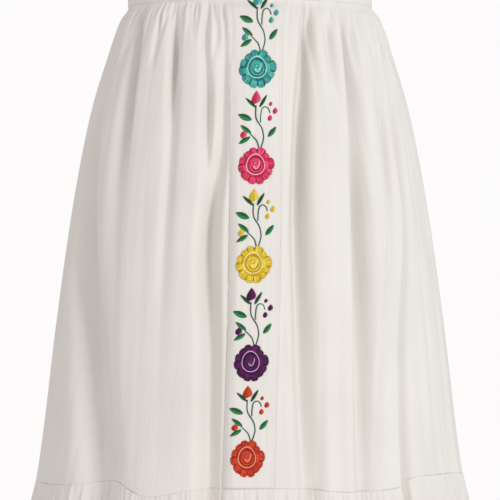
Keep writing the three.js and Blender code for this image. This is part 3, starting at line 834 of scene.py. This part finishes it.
# ------------------------------------------------------------------------------
# Embroidery. Eight sprigs one above the other on the front panel, worked in satin stitch with shiny rayon
# thread: each has a rose, a bud, a side bud, berries, a tendril and leaves on two stems that rise from
# the rose.

# Places of the roses and the dyes of their flowers, from the neckline down, with how wide and tall each
# rose is and how far its stems rise, as shares of the usual
SPRIGS = table(
    "x z dye rose rise",
    (3.8, -168, "yellow", (1.0, 1.0), 1.0),
    (5.0, -270, "purple", (0.98, 1.0), 0.98),
    (6.5, -372, "orange", (1.0, 0.99), 0.97),
    (7.8, -475, "teal", (1.05, 1.07), 1.05),
    (6.2, -577.6, "pink", (1.01, 1.01), 0.985),
    (3.5, -680.4, "yellow", (1.01, 1.01), 0.98),
    (1.0, -782, "purple", (0.955, 0.99), 0.957),
    (-2.8, -880, "orange", (0.945, 0.985), 0.91),
)
ROSE_TOP = 18.0
# Five shades of each dye, darkest first. Besides the thread's own shades, the dark and deep ones also paint
# shade at the sides of the outer petals and round the small petals, and the light one paints a sheen down
# the outer petals' middles.
SHADES = ("dark", "deep", "mid", "light", "pale")
DYES_AND_PAINTED_SHADES = {
    "teal": ("#12615F", "#1B7B76", "#3C9892", "#5FC1B8", "#C4F0E9"),
    "pink": ("#A01440", "#BF1E4E", "#D22855", "#E65C82", "#FBCBD6"),
    "yellow": ("#B4880C", "#CEA61C", "#D8BA2A", "#EBD352", "#FCF3B4"),
    "purple": ("#2C0530", "#3E073D", "#470840", "#661A62", "#DDB2E2"),
    "orange": ("#97200C", "#B32B11", "#BA3010", "#D85029", "#F8AF97"),
}
LEAF_DYES = {"dark": "#0D3D1D", "mid": "#1B5F33", "light": "#358A50", "stem": "#35614A"}
THREAD_WIDTH, THREAD_PITCH, THREAD_HEIGHT, THREAD_SINK = 0.56, 0.46, 0.3, 0.14
# Outer petals of the rose: direction in degrees from the right, anticlockwise, and reach in mm
PETALS = table(
    "turn reach",
    (72, 19.3), (101, 18.6), (130, 17.2), (160, 17.9), (192, 18.9), (228, 19.4), (257, 20.2), (282, 20.1),
    (311, 18.4), (334, 18.4), (367, 19.3), (402, 17.2),
)
# Notches between a petal and the one before it, in degrees, with their depth in mm
NOTCHES = table(
    "turn depth",
    (55, 1.6), (86, 4.6), (113, 1.5), (146, 2.7), (178, 1.3), (208, 3.0), (244, 1.6), (270, 4.0),
    (295, 1.7), (323, 1.5), (347, 2.6), (388, 3.0),
)
PETAL_FOOT, PETAL_RIM, PETAL_RIM_LAP = 11.8, 2.6, 1.5
# Small petals round the heart: turns in degrees, and distances of their edges from the middle in mm, with
# the span of a ring of painted shade along their rims
INNER_PETALS = [20, 62, 98, 140, 182, 222, 262, 300, 338]
INNER_SHADES = ["mid", "light", "mid", "deep", "light", "mid", "deep", "mid", "light"]
INNER_REACH, INNER_SHADE_RING, INNER_TURN = 12.3, (12.0, 13.3), 12.2
HEART_TURN = 9.6
HEART = {"x": -0.4, "z": 0.8, "half_width": 9.4, "half_height": 10.8, "narrow_at_top": 0.12}
# Curled lines of stitches on the heart: width in mm, shade and points
CURLS = [
    (1.1, "light", [(-4.6, 1.2), (-4.4, 4.6), (-1.6, 6.4), (2.0, 6.0), (4.0, 3.6)]),
    (1.4, "dark", [(-1.4, 8.2), (1.6, 8.0), (4.4, 6.4)]),
    (0.9, "pale", [(-2.6, -1.6), (-0.6, -3.6), (1.4, -3.2), (2.6, -1.0), (3.8, 2.0), (3.4, 4.4)]),
    (0.9, "dark", [(-2.4, 0.0), (-2.6, 2.4), (-0.6, 3.8), (1.4, 2.6), (0.8, 0.6), (-0.9, 0.2)]),
    (1.1, "light", [(-6.0, -0.6), (-5.2, -4.2), (-2.2, -6.6), (2.0, -6.6), (5.2, -4.2), (6.2, -0.4)]),
    (0.8, "dark", [(-4.4, -1.6), (-2.6, -4.8), (1.2, -5.4), (4.2, -3.0), (5.2, 0.8)]),
]
STEMS = table(
    "width line",
    (1.25, [(5.3, 18.5), (7.7, 27.2), (7.7, 32.4), (6.1, 39.3), (1.0, 48.0), (-0.3, 54.0), (0, 63.4)]),
    (1.15, [(3.2, 17.8), (1.0, 25.3), (-2.3, 29.3), (-6.3, 33.3)]),
    (1.1, [(4.7, 45.4), (4.9, 52.2), (6.2, 59.6), (9.6, 62.2), (13.0, 60.2), (14.5, 56.0)]),
)
LEAVES = table(
    "base tip width shades",
    ((-4.6, 48.0), (-18.6, 53.9), 6.6, ("mid", "light")),
    ((-5.2, 33.8), (-16.0, 42.3), 4.7, ("mid", "light")),
    ((-6.0, 29.9), (-17.8, 22.6), 4.7, ("mid", "light")),
    ((12.8, 30.1), (21.0, 40.7), 5.0, ("mid", "light")),
    ((-0.4, 61.8), (-10.8, 71.6), 3.4, ("dark", "mid")),
    ((3.9, 61.8), (11.4, 74.9), 3.4, ("dark", "mid")),
)
# Buds and berries: middle, half width and half height in mm, and how much narrower they get upwards
BUDS = table(
    "x z half_width half_height narrow_at_top",
    (0.3, 72.4, 4.4, 6.4, 0.5),
    (-12.9, 32.4, 3.5, 3.5, 0.1),
    (14.6, 50.1, 2.4, 2.9, 0.15),
    (20.1, 57.9, 2.6, 3.0, 0.2),
    (15.4, 65.4, 1.9, 2.0, 0.15),
)


class Stitches:
    """Straight stitches on the front, each with its two ends, arch, height above the cloth and dye."""

    def __init__(self, seed):
        self.rows, self.random = [], np.random.RandomState(seed)

    def lay(self, starts, ends, dye, arch, base=0.0):
        starts, ends = np.asarray(starts, dtype=float), np.asarray(ends, dtype=float)
        count = len(starts)
        jitter = self.random.uniform(-0.07, 0.07, (count, 4))
        tone = self.random.uniform(0.9, 1.08, (count, 1))
        colour = np.broadcast_to(np.array(linear(dye)[:3]), (count, 3)) * tone
        lifts = np.stack([np.broadcast_to(arch, count), np.broadcast_to(base, count)], axis=1)
        parts = [starts + jitter[:, :2], ends + jitter[:, 2:], lifts, colour]
        self.rows.append(np.concatenate(parts, axis=1))

    def mesh(self, name, x, z):
        """Joined mesh of closed, flattened tubes about a place on the front."""
        rows = np.concatenate(self.rows)
        span = rows[:, 2:4] - rows[:, :2]
        length = np.linalg.norm(span, axis=1)
        groups, dyes = [], []
        for rings, chosen in ((3, length < 2.2), (4, length >= 2.2)):
            row, run, size = rows[chosen], span[chosen], np.maximum(length[chosen], 0.05)
            share = np.linspace(0, 1, rings)[None, :, None]
            middle = row[:, None, :2] + run[:, None, :] * share
            arch = row[:, 4, None] * (1 - np.abs(2 * share[..., 0] - 1) ** 2.5)
            lift = row[:, 5, None] + arch - THREAD_SINK
            side = np.stack([-run[:, 1], run[:, 0]], axis=1) / size[:, None] * THREAD_WIDTH / 2
            ring = np.stack([middle - side[:, None], middle, middle + side[:, None], middle], axis=2)
            out = np.stack([lift, lift + THREAD_HEIGHT, lift, lift - THREAD_HEIGHT / 2], axis=2)
            across, up = x + ring[..., 0], z + ring[..., 1]
            ground = PANEL_RAISE - margin_dip(across - panel_edge(up, -1), up)
            groups.append(front_surface(across, up, ground + out))
            dyes.append(np.repeat(row[:, 6:9], rings * 4, axis=0))
        piece, dyes = joined_tubes(name, groups), np.concatenate(dyes)
        # Colour of each stitch: its thread's dye, and on the roses also painted shade and a painted sheen
        dye = piece.data.attributes.new("dye", "FLOAT_COLOR", "POINT")
        dyes = np.column_stack([dyes, np.ones(len(dyes))])
        dye.data.foreach_set("color", dyes.astype(np.float32).ravel())
        return piece


def even_line(points):
    """Smooth line through given points at even steps, and its directions."""
    points = np.array(points, dtype=float)
    padded = np.vstack([2 * points[0] - points[1], points, 2 * points[-1] - points[-2]])
    t = np.linspace(0, 1, 20, endpoint=False)[:, None]
    spans = [
        0.5 * (2 * b + (c - a) * t + (2 * a - 5 * b + 4 * c - d) * t**2 + (3 * b - 3 * c + d - a) * t**3)
        for a, b, c, d in zip(padded, padded[1:], padded[2:], padded[3:])
    ]
    line = np.vstack([*spans, points[-1:]])
    length = run_along(line)
    at = np.linspace(0, length[-1], max(3, int(length[-1] / THREAD_PITCH) + 1))
    line = np.stack([np.interp(at, length, line[:, k]) for k in (0, 1)], axis=1)
    heading = np.gradient(line, axis=0)
    return line, heading / np.linalg.norm(heading, axis=1, keepdims=True)


def stitch_line(work, points, width, dye, arch, base=0.0):
    """Slanted stitches side by side across a line."""
    line, heading = even_line(points)
    across = np.stack([-heading[:, 1], heading[:, 0]], axis=1)
    half = (across - 0.5 * heading) * (width / 2)
    work.lay(line + half, line - half, dye, arch, base)


def stitch_leaf(work, base, tip, width, upper, lower):
    """Two rows of slanted stitches from a leaf's spine to its rim."""
    base, tip = np.array(base, dtype=float), np.array(tip, dtype=float)
    run = tip - base
    side = np.array([-run[1], run[0]]) / np.linalg.norm(run)
    side = side * (1 if side[1] >= 0 else -1)
    share = np.linspace(0, 0.97, int(np.linalg.norm(run) / THREAD_PITCH))
    for hand, dye in ((1, upper), (-1, lower)):
        bulge = width / 2 * np.sin(math.pi * np.clip(share + 0.03, 0, 1) ** 0.85) ** 0.75
        spine = base + run * np.clip(share - 0.06, 0, 1)[:, None]
        rim = base + run * np.clip(share + 0.05, 0, 1)[:, None] + hand * side * bulge[:, None]
        work.lay(spine, rim, dye, 0.42)


def egg(shape, turn, size=1.0):
    """Point of an egg-shaped outline at a turn from its top, in radians."""
    wide = shape["half_width"] * (1 - shape["narrow_at_top"] * np.cos(turn)) * np.sin(turn)
    tall = shape["half_height"] * size
    return np.stack([shape["x"] + size * wide, shape["z"] + tall * np.cos(turn)], axis=-1)


def stitch_bud(work, shape, upper, lower):
    """Slanted stitches from edge to edge of an egg shape."""
    rows = max(3, int(2 * shape["half_height"] / THREAD_PITCH))
    turn = np.arccos(np.linspace(0.97, -0.97, rows))
    slant = np.array([0, 0.18 * shape["half_width"]])
    left, right = egg(shape, -turn), egg(shape, turn)
    middle = (left + right) / 2
    work.lay(left - slant, middle, lower, 0.35)
    work.lay(middle, right + slant, upper, 0.35)


def ray(turn, radius):
    """Points at turns in radians and at distances from a rose's middle."""
    return np.stack([radius * np.cos(turn), radius * np.sin(turn)], axis=1)


def stitch_rose(work, dye):
    """Petals worked from the middle to the rim, darker at their sides as painted shade and streaked lighter
    down their middles as a painted sheen, a ring of smaller ones on their feet edged with a ring of painted
    shade, and a curled heart.
    """
    for k, petal in enumerate(PETALS):
        turn, before, after = petal["turn"], NOTCHES[k], NOTCHES[(k + 1) % len(NOTCHES)]
        first, last = before["turn"], after["turn"] + (360 if k == len(PETALS) - 1 else 0)
        count = int(math.radians(last - first) * petal["reach"] / THREAD_PITCH)
        at = np.linspace(first, last, count)
        s = np.where(at < turn, (at - turn) / (turn - first), (at - turn) / (last - turn))
        round_off = 1 - np.abs(s) ** 2.4
        notch = np.where(at < turn, before["depth"], after["depth"])
        reach = petal["reach"] - notch * (1 - np.sqrt(np.maximum(round_off, 0)))
        foot = np.radians(turn + 0.8 * (at - turn))
        head = np.radians(at)
        # Threads outside a petal's middle, towards the notches, take the dark or deep shade: painted shade
        # between the petals
        middle = np.abs(s) < 0.78
        puff = 0.45 + 0.35 * np.sqrt(np.maximum(round_off, 0))
        rim = (ray(head, reach - PETAL_RIM), ray(head, reach))
        body = (ray(foot, PETAL_FOOT), ray(head, reach - PETAL_RIM_LAP))
        # Some threads down a petal's middle, more on every third petal, take the light shade: a painted
        # sheen
        painted_sheen_streak = work.random.uniform(0, 1, count) < 0.3 + 0.35 * (k % 3 == 0)
        for row, inner, outer, base in ((rim, "mid", "dark", 0.0), (body, "mid", "deep", 0.2)):
            for chosen, shade in ((middle & ~painted_sheen_streak, inner), (~middle, outer), (middle & painted_sheen_streak, "light")):
                work.lay(row[0][chosen], row[1][chosen], dye[shade], puff[chosen], base)
    around = np.linspace(0, 2 * math.pi, int(2 * math.pi * INNER_TURN / THREAD_PITCH), endpoint=False)
    ends = np.radians(np.array([*INNER_PETALS, INNER_PETALS[0] + 360]))
    place = (around - ends[0]) % (2 * math.pi) + ends[0]
    index = np.clip(np.searchsorted(ends, place, side="right") - 1, 0, len(INNER_PETALS) - 1)
    s = (place - ends[index]) / (ends[index + 1] - ends[index]) * 2 - 1
    bulge = np.sqrt(np.maximum(0, 1 - np.abs(s) ** 2.6))
    heart = egg(HEART, math.pi / 2 - around)
    # A ring in the deep shade along the small petals' rims: painted shade where they meet the outer petals
    outline = [ray(around, radius + bulge) for radius in INNER_SHADE_RING]
    work.lay(*outline, dye["deep"], 0.2, 0.5)
    for number, shade in enumerate(INNER_SHADES):
        chosen = index == number
        ends = (heart[chosen], ray(around, INNER_REACH + bulge)[chosen])
        work.lay(*ends, dye[shade], 0.25 + 0.35 * bulge[chosen], 0.5)
    turn = np.linspace(0, 2 * math.pi, int(2 * math.pi * HEART_TURN / THREAD_PITCH), endpoint=False)
    work.lay(egg(HEART, turn, 0.93), egg(HEART, turn, 1.04), dye["pale"], 0.3, 0.62)
    work.lay(egg(HEART, turn, 0.78), egg(HEART, turn, 0.93), dye["deep"], 0.2, 0.5)
    for outer, inner, shade, base in ((0.82, 0.42, "mid", 0.4), (0.46, 0.0, "light", 0.42)):
        count = int(2 * math.pi * HEART_TURN * outer / THREAD_PITCH)
        turn = np.linspace(0, 2 * math.pi, count, endpoint=False)
        work.lay(egg(HEART, turn + 0.5, inner), egg(HEART, turn, outer), dye[shade], 0.3, base)
    for width, shade, line in CURLS:
        stitch_line(work, line, width, dye[shade], 0.25, 0.72)


def rayon_thread(name):
    """Twisted rayon embroidery thread in many dyes, whose stitch colours on the roses also hold painted
    shade and a painted sheen. The eye sees saturated colour with a silky shine that runs along each stitch."""
    silky = {"Roughness": 0.36, "Specular IOR Level": 0.3, "Sheen Weight": 0.02}
    material, shader = new_material(name, silky)
    dye = add_node(material, "ShaderNodeAttribute", [("attribute_name", "dye")]).outputs["Color"]
    material.node_tree.links.new(dye, shader.inputs["Base Color"])
    return material


rayon = rayon_thread("rayon embroidery thread")
for number, sprig in enumerate(SPRIGS):
    work, dye = Stitches(100 + number), dict(zip(SHADES, DYES_AND_PAINTED_SHADES[sprig["dye"]]))
    for stem in STEMS:
        stitch_line(work, stem["line"], stem["width"], LEAF_DYES["stem"], 0.35)
    for leaf in LEAVES:
        upper, lower = [LEAF_DYES[shade] for shade in leaf["shades"]]
        stitch_leaf(work, leaf["base"], leaf["tip"], leaf["width"], upper, lower)
    for bud in BUDS:
        stitch_bud(work, bud, dye["light"], dye["mid"])
    for row in work.rows:
        above = row[:, [1, 3]] - ROSE_TOP
        row[:, [1, 3]] = ROSE_TOP + above * np.where(above > 0, sprig["rise"], 1)
    rows_above = len(work.rows)
    stitch_rose(work, dye)
    for row in work.rows[rows_above:]:
        row[:, :4] *= np.tile(sprig["rose"], 2)
    threads = work.mesh(f"sprig_{number + 1}_{sprig['dye']}", sprig["x"], sprig["z"])
    threads.data.materials.append(rayon)
    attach(threads, "root")

# ------------------------------------------------------------------------------
# Studio. A pale floor below the dress, a soft key light on the right, a weak fill on the left and a white
# room. The camera looks level at the skirt.

scene = bpy.context.scene
FLOOR_Z = -1550.0
FLOOR_RADIUS = 3200.0
FLOOR_CORNERS = 96
PIXEL_MM = 1.10
IMAGE_SIDE = 500
CAMERA_DISTANCE = 2.8
CAMERA_Z = -0.666
SENSOR_MM = 36.0

turn = np.linspace(0, 2 * math.pi, FLOOR_CORNERS, endpoint=False)
corners = np.stack([FLOOR_RADIUS * np.cos(turn), FLOOR_RADIUS * np.sin(turn), FLOOR_Z + 0 * turn], axis=1)
floor = add_piece("studio_floor", corners, np.arange(FLOOR_CORNERS)[None])
floor_paint, _ = new_material("matt white studio paint", {"Base Color": linear("#F2F0EE"), "Roughness": 0.9})
floor.data.materials.append(floor_paint)

world = bpy.data.worlds.new("white studio")
world.use_nodes = True
scene.world = world
backdrop = world.node_tree.nodes["Background"]
surface = world.node_tree.nodes["World Output"].inputs["Surface"]
backdrop.inputs["Color"].default_value = linear("#FDFBFB")
backdrop.inputs["Strength"].default_value = 1.0
ambient = add_node(world, "ShaderNodeBackground", [("Color", linear("#FAFAFC")), ("Strength", 0.7)])
seen = add_node(world, "ShaderNodeLightPath").outputs["Is Camera Ray"]
shown = [("Fac", seen), (1, ambient.outputs["Background"]), (2, backdrop.outputs["Background"])]
room = add_node(world, "ShaderNodeMixShader", [], shown)
world.node_tree.links.new(room.outputs["Shader"], surface)

LIGHTS = table(
    "name place size power colour",
    ("key", (2.0, -2.55, 0.2), 1.0, 50, "#FBFFFF"),
    ("fill", (-2.6, -2.2, 0.0), 2.0, 15, "#FFF1EC"),
)
aim = np.array([0.0, 0.0, -0.62])
for lamp in LIGHTS:
    light = bpy.data.lights.new(lamp["name"], "AREA")
    light.energy = lamp["power"]
    light.color = linear(lamp["colour"])[:3]
    light.size = lamp["size"]
    lamp_object = bpy.data.objects.new(lamp["name"], light)
    lamp_object.location = lamp["place"]
    away = np.array(lamp["place"]) - aim
    tilt = math.atan2(math.hypot(away[0], away[1]), away[2])
    lamp_object.rotation_euler = (tilt, 0, math.atan2(away[1], away[0]) + math.pi / 2)
    scene.collection.objects.link(lamp_object)

camera_data = bpy.data.cameras.new("camera")
camera_data.sensor_width = SENSOR_MM
camera_data.lens = SENSOR_MM * CAMERA_DISTANCE / (IMAGE_SIDE * PIXEL_MM * MM)
camera = bpy.data.objects.new("camera", camera_data)
camera.location = (0, -CAMERA_DISTANCE, CAMERA_Z)
camera.rotation_euler = (math.pi / 2, 0, 0)
scene.collection.objects.link(camera)
scene.camera = camera
scene.view_settings.view_transform = "Standard"
